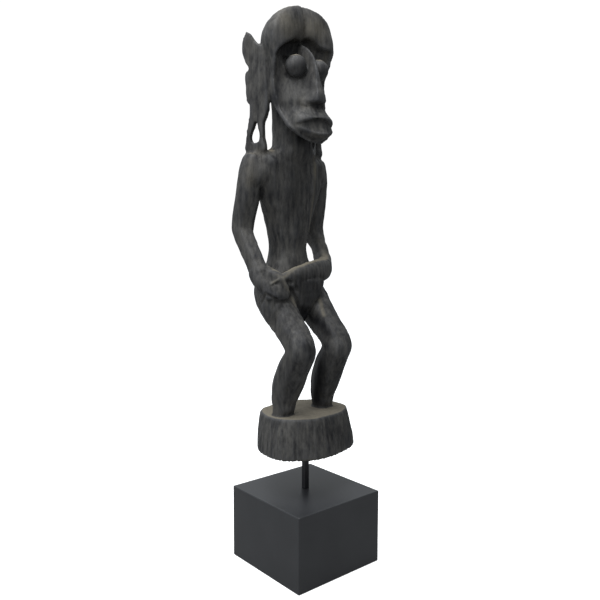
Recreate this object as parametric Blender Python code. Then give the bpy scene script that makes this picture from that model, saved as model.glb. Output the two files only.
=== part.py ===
"""A carved wooden figure standing with bent knees on an oval stub of the same log.
A square steel bar holds it over a square black block.
Metres, +Z up. Origin at the centre of the block's underside; the figure faces -Y."""
import math

import bmesh
import bpy
import numpy as np
from mathutils import Vector

# Block and bar
BLOCK_SIDE = 0.100
BLOCK_HEIGHT = 0.070
BLOCK_EDGE = 0.0008
BAR_SIDE = 0.0048
BAR_IN_BLOCK = 0.040
BAR_IN_FIGURE = 0.025
BAR_SHOWN = 0.038
FIT_GAP = 0.0003

# Figure: the height of the whole carving, and where it stands over the block
FIGURE_HEIGHT = 0.413
FIGURE_X = 0.0
FIGURE_Y = 0.0
FIGURE_TRIANGLES = 8200

# The carving is drawn in shares of its height, 413 units from the stub's underside to the crown.
# The drawing counts its heights from a line 2 units above the underside.
UNIT = FIGURE_HEIGHT / 413.0
ZERO_LINE = 2.0
FIGURE_BASE = BLOCK_HEIGHT + BAR_SHOWN
VOXEL = 2.3 * UNIT


def clear_scene():
    for item in list(bpy.data.objects):
        bpy.data.objects.remove(item, do_unlink=True)


def material(name, colour, roughness, metallic=0.0):
    made = bpy.data.materials.new(name)
    made.use_nodes = True
    shader = made.node_tree.nodes["Principled BSDF"]
    shader.inputs["Base Color"].default_value = (*colour, 1.0)
    shader.inputs["Roughness"].default_value = roughness
    shader.inputs["Metallic"].default_value = metallic
    made.diffuse_color = (*colour, 1.0)
    return made


def smooth_rows(rows, per_gap):
    """Rows of numbers joined by a Catmull-Rom curve."""
    rows = np.asarray(rows, float)
    padded = np.vstack([2 * rows[0] - rows[1], rows, 2 * rows[-1] - rows[-2]])
    out = []
    for i in range(len(rows) - 1):
        a, b, c, d = padded[i:i + 4]
        for k in range(per_gap):
            t = k / per_gap
            out.append(0.5 * (2 * b + (c - a) * t + (2 * a - 5 * b + 4 * c - d) * t ** 2
                              + (3 * b - a - 3 * c + d) * t ** 3))
    out.append(rows[-1])
    return np.array(out)


def oval(count, power):
    """Points round a superellipse of half-widths 1; power 2 is a circle, more is squarer."""
    angle = np.arange(count) * 2 * math.pi / count
    c, s = np.cos(angle), np.sin(angle)
    return (np.sign(c) * np.abs(c) ** (2 / power), np.sign(s) * np.abs(s) ** (2 / power))


def rings_to_body(rings):
    """A closed body from rings of equal count, capped with a point at each end."""
    rings = np.asarray(rings, float)
    levels, count = rings.shape[:2]
    points = [rings[0].mean(axis=0)] + list(rings.reshape(-1, 3)) + [rings[-1].mean(axis=0)]
    faces = []
    last = len(points) - 1
    for j in range(count):
        k = (j + 1) % count
        faces.append((0, 1 + k, 1 + j))
        for i in range(levels - 1):
            low, high = 1 + i * count, 1 + (i + 1) * count
            faces.append((low + j, low + k, high + k, high + j))
        top = 1 + (levels - 1) * count
        faces.append((top + j, top + k, last))
    return points, faces


def level_loft(rows, power=2.3, count=32, per_gap=4):
    """Flat rings: rows of (x, y, z, half-width in x, half-depth in y)."""
    u, v = oval(count, power)
    rings = []
    for x, y, z, a, b in smooth_rows(rows, per_gap):
        rings.append(np.stack([x + a * u, y + b * v, np.full(count, z)], axis=1))
    return rings_to_body(rings)


def limb(rows, power=2.3, count=24, per_gap=4, side=(1.0, 0.0, 0.0)):
    """Rings square to the path: rows of (x, y, z, half-width along side, half-width across it)."""
    u, v = oval(count, power)
    path = smooth_rows(rows, per_gap)
    middle = path[:, :3]
    ahead = np.gradient(middle, axis=0)
    rings = []
    for row, way in zip(path, ahead):
        way = way / np.linalg.norm(way)
        across = np.array(side) - way * np.dot(side, way)
        across = across / np.linalg.norm(across)
        third = np.cross(way, across)
        rings.append(row[:3] + np.outer(row[3] * u, across) + np.outer(row[4] * v, third))
    return rings_to_body(rings)


def ball(centre, radii, count=24):
    rings = []
    for t in np.linspace(0.06, math.pi - 0.06, 13):
        angle = np.arange(count) * 2 * math.pi / count
        rings.append(np.stack([centre[0] + radii[0] * math.sin(t) * np.cos(angle),
                               centre[1] + radii[1] * math.sin(t) * np.sin(angle),
                               np.full(count, centre[2] - radii[2] * math.cos(t))], axis=1))
    return rings_to_body(rings)


def mirrored(body):
    points, faces = body
    return ([(-p[0], p[1], p[2]) for p in points], [tuple(reversed(f)) for f in faces])


def both(body):
    return [body, mirrored(body)]


def ramp(value, low, high):
    t = np.clip((value - low) / (high - low), 0.0, 1.0)
    return t * t * (3 - 2 * t)


def softer_min(a, b, width):
    """The smaller of two depths, with a fillet of about this width."""
    h = np.clip(0.5 + 0.5 * (b - a) / width, 0.0, 1.0)
    return b * (1 - h) + a * h - width * h * (1 - h)


def along(table, z):
    """A value read at height z from rows of (z, value), with rounded changes."""
    rows = smooth_rows(sorted(table), 6)
    return np.interp(z, rows[:, 0], rows[:, 1])


# Head: heights run from the stub's underside; depths grow towards the back
HEAD_LOW = 285.8
HEAD_HIGH = 411.2
HEAD_WIDTH = [(285.8, 2), (287, 8), (290, 14), (294, 20), (299, 26), (306, 27.6), (315, 28.6),
              (325, 30.4), (335, 31.6), (348, 32.4), (358, 32.8), (367, 34.4), (374, 36.2), (382, 36.4),
              (391, 34.6), (398.5, 31), (404, 26.2), (408.4, 17.8), (411.2, 4.5)]
RIM_HALF = [(285.5, 1.5), (290, 13), (294, 19), (299, 25.4), (307.5, 26.4), (318, 26.4), (327, 28.5),
            (337, 30.5), (347, 30.6), (359, 31.6), (366, 31.6), (371, 31), (376, 30.2), (382, 28.5),
            (390, 26)]
RIM_DEPTH = [(285.5, -16), (290, -12.1), (294, -10.5), (299, -8), (307.5, -0.6), (318, 7.2), (327, 8.6),
             (337, 10.2), (347, 10.6), (359, 6.7), (367, 5.8), (376, 3.8), (390, 2)]
SIDE_DEPTH = [(285.5, -15), (290, -10), (299, -4), (307.5, 3), (318, 11), (327, 15), (337, 18),
              (347, 18), (360, 15), (376, 11), (390, 11), (412, 9)]
DISH_DEPTH = [(285.8, -10), (287.5, -15.4), (289, -17.6), (291, -20.6), (292.6, -22.6), (295, -22.9),
              (299, -22), (304, -22.2), (307.8, -22), (310, -20.6), (313, -18.2), (316, -16),
              (320, -13.6), (324, -11.6), (329, -9.4), (335, -7.2), (341, -5), (348, -2.3), (353, 0.8),
              (357, 5.5), (361, 10), (365, 13), (369, 14), (374, 13.6), (380, 13), (388, 12.5)]
DISH_HOLLOW = [(300, 0), (309, 0), (318, 1.2), (330, 2.2), (340, 2.4), (350, 2), (358, 2.6), (364, 4.6),
               (370, 5.6), (376, 5), (384, 4)]
NOSE_RIDGE = [(318.4, -10), (321.8, -20.2), (323.5, -21.1), (328, -20.9), (334.8, -18.5), (340.5, -16.9),
              (345, -15.8), (350.7, -14.4), (356, -12.8), (361.8, -11), (365.2, -9), (369, -5.5),
              (372.1, -1.4), (376.2, 5.2), (380.8, 10.6), (386, 16)]
NOSE_FLAT = [(318, 4.8), (328, 4.3), (335, 3.1), (341, 2.1), (348, 1.3), (360, 0.9), (372, 0.7), (382, 0.5)]
NOSE_FOOT = [(318, 9.6), (321, 12), (324, 12.8), (328, 11.6), (339, 9), (350, 7.8), (360, 6.6),
             (368, 5.6), (376, 4.6), (382, 4)]
LIP_HALF = [(285.8, 6), (288, 9), (291, 12.5), (294, 16.6), (297, 20.4), (300, 22.4), (303, 23),
            (306, 22.4), (308, 21), (310.5, 19.4), (314, 18.4), (322, 18), (340, 18)]
BROW_VALLEY = [(370, 7), (379, 6.6), (382, 5.6), (385, 4.2), (388, 3), (392, 2), (397, 1.4), (406, 1)]
VALLEY_HALF = [(370, 18), (379, 18), (382, 16), (386, 12.5), (390, 9), (396, 7), (406, 6)]
BROW_NEAR = [(0, 379.6), (4, 380.4), (8, 380.4), (13, 379.2), (19, 376.4), (25, 372.7), (29.5, 369),
             (32, 365), (36, 360)]
BROW_FAR = [(0, 379.6), (2.5, 382.4), (6, 383.2), (9.5, 382.4), (12.5, 380.4), (15.5, 377.8), (19, 376),
            (24, 375.6), (30, 376), (36, 376.6)]
EYE = (13.6, 0.0, 354.9)
EYE_RADIUS = 9.8


def face_dish(wide, z, rim, rim_y):
    """The cheeks between the rim and the foot of the nose, and the lips' bow below them."""
    deep, foot = along(DISH_DEPTH, z), along(NOSE_FOOT, z)
    inward = np.clip((rim - wide) / (rim - foot), 0, 1)
    cheek = rim_y + (deep - rim_y) * inward + along(DISH_HOLLOW, z) * 1.9 * inward ** 0.6 * (1 - inward)
    bow = deep + 10.6 * np.minimum((wide / along(LIP_HALF, z)) ** 2.2, 2.5)
    bow = bow + (rim_y - bow) * ramp(wide, rim - 8.0, rim)
    mixed = ramp(z, 308, 330)
    return bow * (1 - mixed) + cheek * mixed


def head_front(x, z):
    """Depth of the face: forehead, dished cheeks, long nose and bill-like lips."""
    wide = np.abs(x)
    half = along(HEAD_WIDTH, z)
    rim, rim_y = along(RIM_HALF, z), along(RIM_DEPTH, z)
    rim = np.minimum(rim, half - 0.4)
    side_y = along(SIDE_DEPTH, z)
    crown = np.clip(1 - (np.clip(z - 376, 0, None) / 36.4) ** 2.6, 0, 1) ** (1 / 2.6)
    share = np.clip(wide / half, 0, 1)
    brow = np.where(x < 0, along(BROW_NEAR, wide), along(BROW_FAR, wide))
    forehead = 11.2 - 10.2 * crown * (1 - share ** 4.5) ** (1 / 4.5)
    forehead = forehead + along(BROW_VALLEY, z) * np.clip(1 - wide / along(VALLEY_HALF, z), 0, 1) ** 1.5
    forehead = forehead + 1.1 * np.exp(-(wide / 0.7) ** 2) * ramp(z, 384, 390)
    forehead = forehead - 1.2 * ramp(wide, 14, 31) * (1 - ramp(z, 384, 402))
    forehead = forehead + 1.2 * np.clip(1 - (z - brow) / 1.8, 0, 1) ** 2 * (1 - ramp(wide, 24, 33))
    turn = 1.6 + 3.4 * ramp(z, 345, 366)
    out = np.clip((wide - rim) / (half - rim), 0, 1)
    cheek = rim_y + (side_y - rim_y) * out ** turn - 3.0 * ramp(z, 352, 372) * ramp(out, 0.1, 0.7)
    face = np.where(wide < rim, face_dish(wide, z, rim, rim_y), cheek)
    face = face - 0.7 * np.exp(-((wide - rim) / 1.1) ** 2) * ramp(z, 292, 304) * (1 - ramp(z, 366, 374))
    flat, foot, ridge = along(NOSE_FLAT, z), along(NOSE_FOOT, z), along(NOSE_RIDGE, z)
    slope = (along(DISH_DEPTH, z) + 1.5 - ridge) / (foot - flat)
    nose = ridge + np.clip(wide - flat, 0, None) * slope + 60 * np.clip(wide - foot - 2, 0, None)
    face = softer_min(face, np.where(z > 318.4, nose, 60.0), 1.0)
    from_eye = np.hypot(wide - EYE[0], z - EYE[2])
    face = face + 3.0 * ramp(11.6 - from_eye, -0.6, 1.8) * ramp(18.5 - wide, -4, 4)
    upper = 307.0 - 5.2 * (wide / 22.5) ** 2
    lower = 294.0 + 6.0 * (wide / 22.5) ** 2
    opened = ramp(upper - z, -0.2, 0.7) * ramp(z - lower, -0.3, 0.9) * ramp(21.4 - wide, -0.4, 0.8)
    face = face + opened * (2.2 + 1.6 * np.clip((z - lower) / (upper - lower), 0, 1))
    under = ramp(brow - z, -0.3, 1.2)
    return forehead * (1 - under) + face * under


def head_back(x, z):
    """Depth of the skull's back above, and of the slanting underside of the jaw below."""
    half = along(HEAD_WIDTH, z)
    side_y = along(SIDE_DEPTH, z)
    crown = np.sqrt(np.clip(1 - (np.clip(z - 372, 0, None) / 38.8) ** 2, 0, 1))
    reach = np.sqrt(np.clip(1 - np.abs(x / half) ** 2.4, 0, 1))
    skull = 8 + 35 * crown
    jaw = z - 302.5
    return side_y + (np.maximum(np.minimum(skull, jaw), side_y + 1.5) - side_y) * reach


def head(levels=70, across=56):
    """A closed body between the front and back depths, level by level."""
    turn = np.linspace(-math.pi / 2, math.pi / 2, across)
    rings = []
    for t in np.linspace(0.02, math.pi - 0.02, levels):
        z = HEAD_LOW + (HEAD_HIGH - HEAD_LOW) * (1 - math.cos(t)) / 2
        zs = np.full(across, z)
        x = along(HEAD_WIDTH, z) * np.sin(turn) * 0.999
        front, back = head_front(x, zs), head_back(x, zs)
        back = np.maximum(back, front + 0.4)
        x = x + 4.0 * ramp(zs, 385, 410)
        fore = np.stack([x, front, zs], axis=1)
        rear = np.stack([x, back, zs], axis=1)[::-1]
        rings.append(np.vstack([fore, rear]))
    return rings_to_body(rings)


# Ear: outline in its own plane, (share towards the back, height)
EAR_MIDDLE = (37.0, 29.4)
EAR_FLARE = math.radians(25)
EAR_THICK = 6.2
EAR_OUTLINE = [(7.6, 387.0), (10.2, 382.5), (12.0, 376), (11.4, 367), (8.8, 359), (5.6, 353.4),
               (9.4, 350.4), (8.9, 337), (7.3, 325), (4.4, 322), (4.3, 313), (6.2, 304), (8.0, 294),
               (8.2, 279), (-10.6, 279), (-9.8, 291), (-9.4, 300), (-9.6, 306), (-12.2, 311.5),
               (-14, 319), (-14, 332), (-13, 350), (-11.5, 366), (-9, 372), (-5.2, 374.6), (-0.4, 378.6),
               (4.2, 384.6)]
EAR_SLIT = [(-1.6, 308.5), (-3.9, 300), (-5.2, 293.5), (-4.0, 288.4), (1.8, 288.2), (3.6, 293.5),
            (1.0, 301)]


def ear():
    """A flat plate with a long slit in its lobe."""
    out = np.array([math.sin(EAR_FLARE), math.cos(EAR_FLARE), 0.0])
    normal = np.array([math.cos(EAR_FLARE), -math.sin(EAR_FLARE), 0.0])
    mesh = bmesh.new()
    edges = []
    for loop in (EAR_OUTLINE, EAR_SLIT):
        made = []
        for share, z in loop:
            spot = np.array([EAR_MIDDLE[0], EAR_MIDDLE[1], z]) + share * out - EAR_THICK / 2 * normal
            made.append(mesh.verts.new(spot))
        for i, vert in enumerate(made):
            edges.append(mesh.edges.new((vert, made[(i + 1) % len(made)])))
    bmesh.ops.triangle_fill(mesh, use_beauty=True, edges=edges)
    grown = bmesh.ops.extrude_face_region(mesh, geom=mesh.faces[:])
    moved = [item for item in grown["geom"] if isinstance(item, bmesh.types.BMVert)]
    bmesh.ops.translate(mesh, verts=moved, vec=Vector(normal * EAR_THICK))
    bmesh.ops.recalc_face_normals(mesh, faces=mesh.faces[:])
    mesh.verts.index_update()
    points = [tuple(v.co) for v in mesh.verts]
    faces = [tuple(v.index for v in f.verts) for f in mesh.faces]
    mesh.free()
    return points, faces


def stub():
    """The rough oval end of the log; its outline wanders a little from an oval."""
    count = 64
    angle = np.arange(count) * 2 * math.pi / count
    u, v = oval(count, 2.25)
    rings = []
    for z, a, b, x, y, rough in ((-2.0, 48.4, 38.2, 6.6, 7.6, 0.02), (-0.6, 49.6, 39.2, 6.6, 7.6, 0.025),
                                 (9.0, 49.0, 38.8, 6.5, 7.8, 0.022), (20.0, 47.0, 37.2, 5.9, 8.2, 0.016),
                                 (33.5, 44.2, 35.0, 5.2, 8.6, 0.014), (35.6, 43.4, 34.2, 5.2, 8.6, 0.014),
                                 (36.3, 30.0, 24.0, 5.2, 8.6, 0.01)):
        wander = 1 + rough * (np.cos(3 * angle + 0.6) + 0.7 * np.cos(5 * angle + 2.1)
                              + 0.5 * np.cos(7 * angle + z * 0.05))
        rings.append(np.stack([x + a * u * wander, y + b * v * wander, np.full(count, z)], axis=1))
    return rings_to_body(rings)


def leg():
    return limb([(25.2, 4.6, 28, 9.6, 9.8), (24.8, 4.4, 37, 9.4, 9.4), (24.2, 3.0, 44, 10.4, 10.6),
                 (24.0, 2.4, 52, 11.5, 12.1), (23.5, -1.2, 64, 13.0, 13.9), (23.1, -5.6, 74, 13.4, 14.5),
                 (22.8, -10.8, 84, 13.2, 14.0), (22.5, -16.4, 93, 13.0, 13.2),
                 (22.7, -19.2, 100, 13.6, 13.2), (22.7, -13.6, 109, 13.8, 12.8),
                 (22.7, -1.0, 121, 14.6, 13.9), (22.4, 15.2, 137, 16.4, 16.2),
                 (21.2, 25.5, 150, 15.8, 17.2), (19.0, 28.0, 165, 13.5, 17.0)], power=2.3)


def arm(wrist):
    """Upper arm and forearm as one limb; wrist holds the rows beyond the elbow."""
    upper = [(38.0, 30.2, 277, 6.8, 8.5), (39.1, 31.0, 271, 9.4, 10.4), (40.6, 31.8, 260, 10.2, 11.2),
             (41.9, 34.6, 243, 10.3, 11.2), (43.2, 38.6, 226, 10.0, 10.7), (44.0, 40.8, 212, 9.6, 10.3),
             (44.1, 38.8, 204, 9.3, 9.9)]
    return limb(upper + wrist, power=2.3)


def figure_bodies():
    """Every form of the carving; they are fused into one solid afterwards."""
    bodies = [stub()]
    bodies += both(leg())
    bodies += both(ball((22.6, -24.2, 99.5), (8.6, 7.6, 9.6)))
    bodies.append(level_loft([(0, 26, 139, 29, 15), (0, 27, 150, 31.5, 20), (0, 27, 162, 30, 21.5),
                              (0, 26.8, 172, 24.2, 18.4), (0, 27, 182, 20.0, 16.6),
                              (0, 27.2, 192, 18.6, 16.0), (0, 26.4, 206, 20.6, 18.0),
                              (0, 26.2, 220, 23.6, 19.4), (0, 26.6, 236, 29.8, 20.4),
                              (0, 26, 247, 33, 20.4), (0, 26, 261, 36, 19.6), (0, 26, 271, 38.5, 18.6),
                              (0, 27, 277, 36.5, 15.5), (0, 27, 281, 28, 12), (0, 26, 284, 18, 9)],
                             power=2.35, count=40))
    bodies.append(level_loft([(0, 24.5, 268, 27, 20), (0, 23.2, 277, 24.5, 19.6), (0, 22, 284, 20.2, 19.2),
                              (0, 21.3, 292, 18.4, 19.2), (0, 21, 305, 18.3, 19.5), (0, 21, 318, 18.8, 20),
                              (0, 20, 332, 21, 22)], power=2.1))
    near = arm([(42.8, 31.0, 190, 8.7, 9.1), (41.2, 23.5, 177, 8.7, 9.2), (40.2, 17.5, 167, 9.6, 9.6)])
    bodies.append(mirrored(near))
    bodies.append(arm([(43.4, 33.5, 196, 8.8, 9.2)]))
    bodies.append(limb([(44.0, 39.6, 206, 9.2, 9.2), (43.5, 34.0, 196, 9.4, 8.8),
                        (41.6, 25.5, 186.5, 9.4, 8.4), (36.8, 17.0, 178.6, 9.8, 8.2),
                        (28, 10.6, 174, 10.2, 7.6), (17, 6.0, 170.6, 10.8, 6.8),
                        (4, 2.6, 167.6, 11.2, 6.2), (-10, 1.4, 164.0, 10.4, 5.6),
                        (-22, 1.6, 161.0, 8.4, 4.8),
                        (-30, 3.4, 159.5, 6.0, 3.8)], power=2.4, side=(0.0, 0.0, 1.0)))
    bodies.append(limb([(-41.2, 21, 172, 9.2, 8.6), (-38.6, 14.0, 163, 11.6, 8.0),
                        (-34.0, 7.6, 155, 12.8, 7.4), (-31.6, 4.0, 148.5, 12.0, 6.6),
                        (-31.0, 4.2, 145.0, 10.5, 4.5)], power=2.7,
                       side=(0.97, -0.24, 0.0)))
    bodies.append(limb([(-39.5, 19, 174, 6.0, 5.4), (-36.0, 11.6, 168, 7.0, 5.4),
                        (-31.0, 5.4, 163.0, 7.0, 5.0),
                        (-26.0, 3.4, 160.0, 5.5, 4.0)], power=2.1, side=(0.7, -0.7, 0.0)))
    bodies.append(limb([(-35.0, 14.5, 155, 9.0, 8.0), (-33.0, 11.0, 145, 11.6, 9.8),
                        (-30.0, 8.4, 134, 12.4, 10.6), (-27.0, 5.4, 122, 11.6, 9.6),
                        (-25.0, 2.6, 112, 9.0, 7.0)], power=2.1))
    bodies.append(level_loft([(-3, 8, 119, 3.5, 4), (-2.5, 7, 127, 8.5, 7), (-1.5, 5.5, 137, 13.5, 8),
                              (1.0, 5.2, 146, 18, 8.4), (3.5, 6.4, 154, 22, 9.2), (4.5, 8.5, 160, 23, 9.6),
                              (4.5, 10, 165, 20, 8)], power=2.3))
    bodies.append(head())
    bodies += both(ear())
    bodies += both(ball(EYE, (EYE_RADIUS, EYE_RADIUS, EYE_RADIUS)))
    bodies += both(ball((EYE[0], EYE[1] + 8.0, EYE[2]), (5.5, 11.0, 5.5)))
    return bodies


def mesh_object(name, bodies, made_of):
    """One object from bodies drawn in units of the figure."""
    points, faces = [], []
    for body_points, body_faces in bodies:
        start = len(points)
        points += [tuple(p) for p in body_points]
        faces += [tuple(start + i for i in face) for face in body_faces]
    scaled = [(FIGURE_X + x * UNIT, FIGURE_Y + y * UNIT, FIGURE_BASE + (z + ZERO_LINE) * UNIT) for x, y, z in points]
    data = bpy.data.meshes.new(name)
    data.from_pydata(scaled, [], faces)
    data.materials.append(made_of)
    made = bpy.data.objects.new(name, data)
    bpy.context.scene.collection.objects.link(made)
    return made


def box(name, side_x, side_y, low, high, made_of=None):
    """A box centred over the origin, from height low to height high."""
    mesh = bmesh.new()
    bmesh.ops.create_cube(mesh, size=1.0)
    for vert in mesh.verts:
        vert.co.x *= side_x
        vert.co.y *= side_y
        vert.co.z = low + (vert.co.z + 0.5) * (high - low)
    data = bpy.data.meshes.new(name)
    mesh.to_mesh(data)
    mesh.free()
    if made_of:
        data.materials.append(made_of)
    made = bpy.data.objects.new(name, data)
    bpy.context.scene.collection.objects.link(made)
    return made


def cut(target, cutter):
    cutter.hide_render = True
    cutter.display_type = "WIRE"
    step = target.modifiers.new("Socket", "BOOLEAN")
    step.operation = "DIFFERENCE"
    step.solver = "EXACT"
    step.object = cutter


def figure(wood):
    made = mesh_object("figure", figure_bodies(), wood)
    fuse = made.modifiers.new("Fuse", "REMESH")
    fuse.mode = "VOXEL"
    fuse.voxel_size = VOXEL
    soften = made.modifiers.new("Soften", "SMOOTH")
    soften.factor = 0.5
    soften.iterations = 2
    depsgraph = bpy.context.evaluated_depsgraph_get()
    fused = bpy.data.meshes.new_from_object(made.evaluated_get(depsgraph))
    made.modifiers.clear()
    made.data = fused
    fused.calc_loop_triangles()
    thin = made.modifiers.new("Facets", "DECIMATE")
    thin.ratio = FIGURE_TRIANGLES / len(fused.loop_triangles)
    thin.use_collapse_triangulate = True
    socket = BAR_SIDE + 2 * FIT_GAP
    top = FIGURE_BASE + BAR_IN_FIGURE + FIT_GAP
    cut(made, box("figure_socket", socket, socket, FIGURE_BASE - 0.010, top))
    return made


def block(paint):
    made = box("block", BLOCK_SIDE, BLOCK_SIDE, 0.0, BLOCK_HEIGHT, paint)
    edge = made.modifiers.new("Edge", "BEVEL")
    edge.width = BLOCK_EDGE
    edge.segments = 2
    socket = BAR_SIDE + 2 * FIT_GAP
    low = BLOCK_HEIGHT - BAR_IN_BLOCK - FIT_GAP
    cut(made, box("block_socket", socket, socket, low, BLOCK_HEIGHT + 0.010))
    return made


def main():
    clear_scene()
    wood = material("blackened_wood", (0.030, 0.029, 0.030), 0.62)
    paint = material("black_satin", (0.018, 0.019, 0.021), 0.38)
    steel = material("black_steel", (0.020, 0.020, 0.022), 0.42, 0.6)
    figure(wood)
    box("bar", BAR_SIDE, BAR_SIDE, BLOCK_HEIGHT - BAR_IN_BLOCK, FIGURE_BASE + BAR_IN_FIGURE, steel)
    block(paint)


main()
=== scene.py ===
"""A carved wooden figure in blackened, dusty hardwood on its square black block mount.
The whole carving is one piece; the block and the bar keep the frame's own shapes."""
import math

import bmesh
import bpy
import numpy as np
from mathutils import Matrix, Vector


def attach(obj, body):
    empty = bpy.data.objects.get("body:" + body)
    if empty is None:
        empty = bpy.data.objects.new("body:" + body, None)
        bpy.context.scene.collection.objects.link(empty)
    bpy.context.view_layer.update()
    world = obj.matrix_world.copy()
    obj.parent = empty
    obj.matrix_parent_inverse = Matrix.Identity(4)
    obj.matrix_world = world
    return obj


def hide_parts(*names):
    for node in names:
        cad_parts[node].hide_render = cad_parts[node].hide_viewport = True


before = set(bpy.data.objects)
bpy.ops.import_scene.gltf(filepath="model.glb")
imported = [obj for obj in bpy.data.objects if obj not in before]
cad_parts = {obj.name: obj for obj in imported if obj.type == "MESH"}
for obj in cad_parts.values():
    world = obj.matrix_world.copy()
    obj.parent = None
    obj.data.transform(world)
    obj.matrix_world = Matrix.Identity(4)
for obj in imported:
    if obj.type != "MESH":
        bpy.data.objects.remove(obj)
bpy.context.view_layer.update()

# Mount
BLOCK_HEIGHT = 0.070
BAR_SIDE = 0.0048
BAR_IN_FIGURE = 0.025
BAR_SHOWN = 0.038
FIT_GAP = 0.0003

# Figure, drawn in units of a 413th of its height; heights count from 2 units above the underside
FIGURE_HEIGHT = 0.413
UNIT = FIGURE_HEIGHT / 413.0
ZERO_LINE = 2.0
FIGURE_BASE = BLOCK_HEIGHT + BAR_SHOWN
SOCKET_CUT_BELOW = 0.010
VOXEL = 1.02 * UNIT
MOST_TRIANGLES = 190000
STEPS_PER_ROW = 8
BALL_POINTS, BALL_LEVELS = 48, 27

# Camera, solved on the block's edges: turn, tilt and roll in radians, focal length in pixels of the photo
CAMERA_SPOT = (-0.40453, -0.4703, 0.31135)
YAW, PITCH, ROLL = -0.7012, 0.0943, 0.003
FOCAL_PIXELS = 661.584
PHOTO_PIXELS = 600
SENSOR = 36

# Light: the sky is brightest towards LIT_SIDE; the lamps' strengths are in watts
LIT_SIDE = (-0.50, 0.12, 0.86)
SKY_DARK, SKY_BRIGHT = 0.0, 1.05
SKY_TINT = (0.93, 0.97, 1.0, 1.0)
BACKDROP = 1.05
OVERHEAD = 17
WINDOW = 6
LAMP_AIM = (0, 0, 0.3)
FLOOR_HALF = 6.0
FLOOR_GLOW = 0.45

# Colours, as linear red, green and blue
CHARCOAL = (0.0058, 0.0066, 0.0090)
GREYED = (0.090, 0.0865, 0.0800)
# The next colour is painted shade, darkening hollows and creases where shade falls
SHADE_IN_HOLLOWS = (0.006, 0.006, 0.0075)
ON_EDGES = (0.066, 0.067, 0.072)
LEDGE_DUST = (0.185, 0.165, 0.128)
# The next colour is painted shade, for the crotch, creases and other shaded places
SHADE_BLUE_BLACK = (0.0022, 0.0024, 0.0036)
# The next colour is tan dust mixed with painted light on lit edges and planes
TAN_DUST_AND_LIGHT = (0.150, 0.134, 0.102)
TAN_STREAK = (0.070, 0.064, 0.050)
LACQUER_DEEP, LACQUER_LIT = (0.0215, 0.0225, 0.0250), (0.0262, 0.0275, 0.0302)
STEEL_DEEP, STEEL_LIT = (0.0030, 0.0034, 0.0048), (0.0075, 0.0084, 0.0115)
WOOD_SPECULAR = 0.2


def smooth_rows(rows, per_gap):
    """Rows of numbers joined by a Catmull-Rom curve."""
    rows = np.asarray(rows, float)
    padded = np.vstack([2 * rows[0] - rows[1], rows, 2 * rows[-1] - rows[-2]])
    out = []
    for i in range(len(rows) - 1):
        a, b, c, d = padded[i:i + 4]
        for k in range(per_gap):
            t = k / per_gap
            out.append(0.5 * (2 * b + (c - a) * t + (2 * a - 5 * b + 4 * c - d) * t ** 2
                              + (3 * b - a - 3 * c + d) * t ** 3))
    out.append(rows[-1])
    return np.array(out)


def hewn_oval(count, power, planes=0, turned=0.0, crisp=0.5):
    """Points round a superellipse; planes gives it that many long knife-cut facets."""
    angle = np.arange(count) * 2 * math.pi / count
    c, s = np.cos(angle), np.sin(angle)
    u, v = np.sign(c) * np.abs(c) ** (2 / power), np.sign(s) * np.abs(s) ** (2 / power)
    if planes:
        part = 2 * math.pi / planes
        off = (angle + turned) % part - part / 2
        flat = math.cos(part / 2) / np.cos(off)
        reach = 1 + crisp * (flat / ((1 + math.cos(part / 2)) / 2) - 1)
        u, v = u * reach, v * reach
    return u, v


def rings_to_body(rings):
    """A closed body from rings of equal count, capped with a point at each end."""
    rings = np.asarray(rings, float)
    levels, count = rings.shape[:2]
    points = [rings[0].mean(axis=0)] + list(rings.reshape(-1, 3)) + [rings[-1].mean(axis=0)]
    faces = []
    last = len(points) - 1
    for j in range(count):
        k = (j + 1) % count
        faces.append((0, 1 + k, 1 + j))
        for i in range(levels - 1):
            low, high = 1 + i * count, 1 + (i + 1) * count
            faces.append((low + j, low + k, high + k, high + j))
        top = 1 + (levels - 1) * count
        faces.append((top + j, top + k, last))
    return points, faces


def level_loft(rows, power=2.3, count=96, planes=0, turned=0.0):
    """Flat rings: rows of (x, y, z, half-width in x, half-depth in y)."""
    u, v = hewn_oval(count, power, planes, turned)
    rings = []
    for x, y, z, a, b in smooth_rows(rows, STEPS_PER_ROW):
        rings.append(np.stack([x + a * u, y + b * v, np.full(count, z)], axis=1))
    return rings_to_body(rings)


def limb(rows, power=2.3, count=64, side=(1.0, 0.0, 0.0), planes=0, turned=0.0, crisp=0.5):
    """Rings square to the path: rows of (x, y, z, half-width along side, half-width across it)."""
    u, v = hewn_oval(count, power, planes, turned, crisp)
    path = smooth_rows(rows, STEPS_PER_ROW)
    ahead = np.gradient(path[:, :3], axis=0)
    rings = []
    for row, way in zip(path, ahead):
        way = way / np.linalg.norm(way)
        across = np.array(side) - way * np.dot(side, way)
        across = across / np.linalg.norm(across)
        third = np.cross(way, across)
        rings.append(row[:3] + np.outer(row[3] * u, across) + np.outer(row[4] * v, third))
    return rings_to_body(rings)


def ball(centre, radii):
    """An ellipsoid, level by level."""
    rings = []
    angle = np.arange(BALL_POINTS) * 2 * math.pi / BALL_POINTS
    for t in np.linspace(0.03, math.pi - 0.03, BALL_LEVELS):
        rings.append(np.stack([centre[0] + radii[0] * math.sin(t) * np.cos(angle),
                               centre[1] + radii[1] * math.sin(t) * np.sin(angle),
                               np.full(BALL_POINTS, centre[2] - radii[2] * math.cos(t))], axis=1))
    return rings_to_body(rings)


def mirrored(body):
    """The body's twin on the other side, its faces turned so that they still point outwards."""
    points, faces = body
    return ([(-p[0], p[1], p[2]) for p in points], [tuple(reversed(f)) for f in faces])


def both(body):
    """The body and its twin."""
    return [body, mirrored(body)]


def ramp(value, low, high):
    """A smooth step from 0 at low to 1 at high."""
    t = np.clip((value - low) / (high - low), 0.0, 1.0)
    return t * t * (3 - 2 * t)


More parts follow.
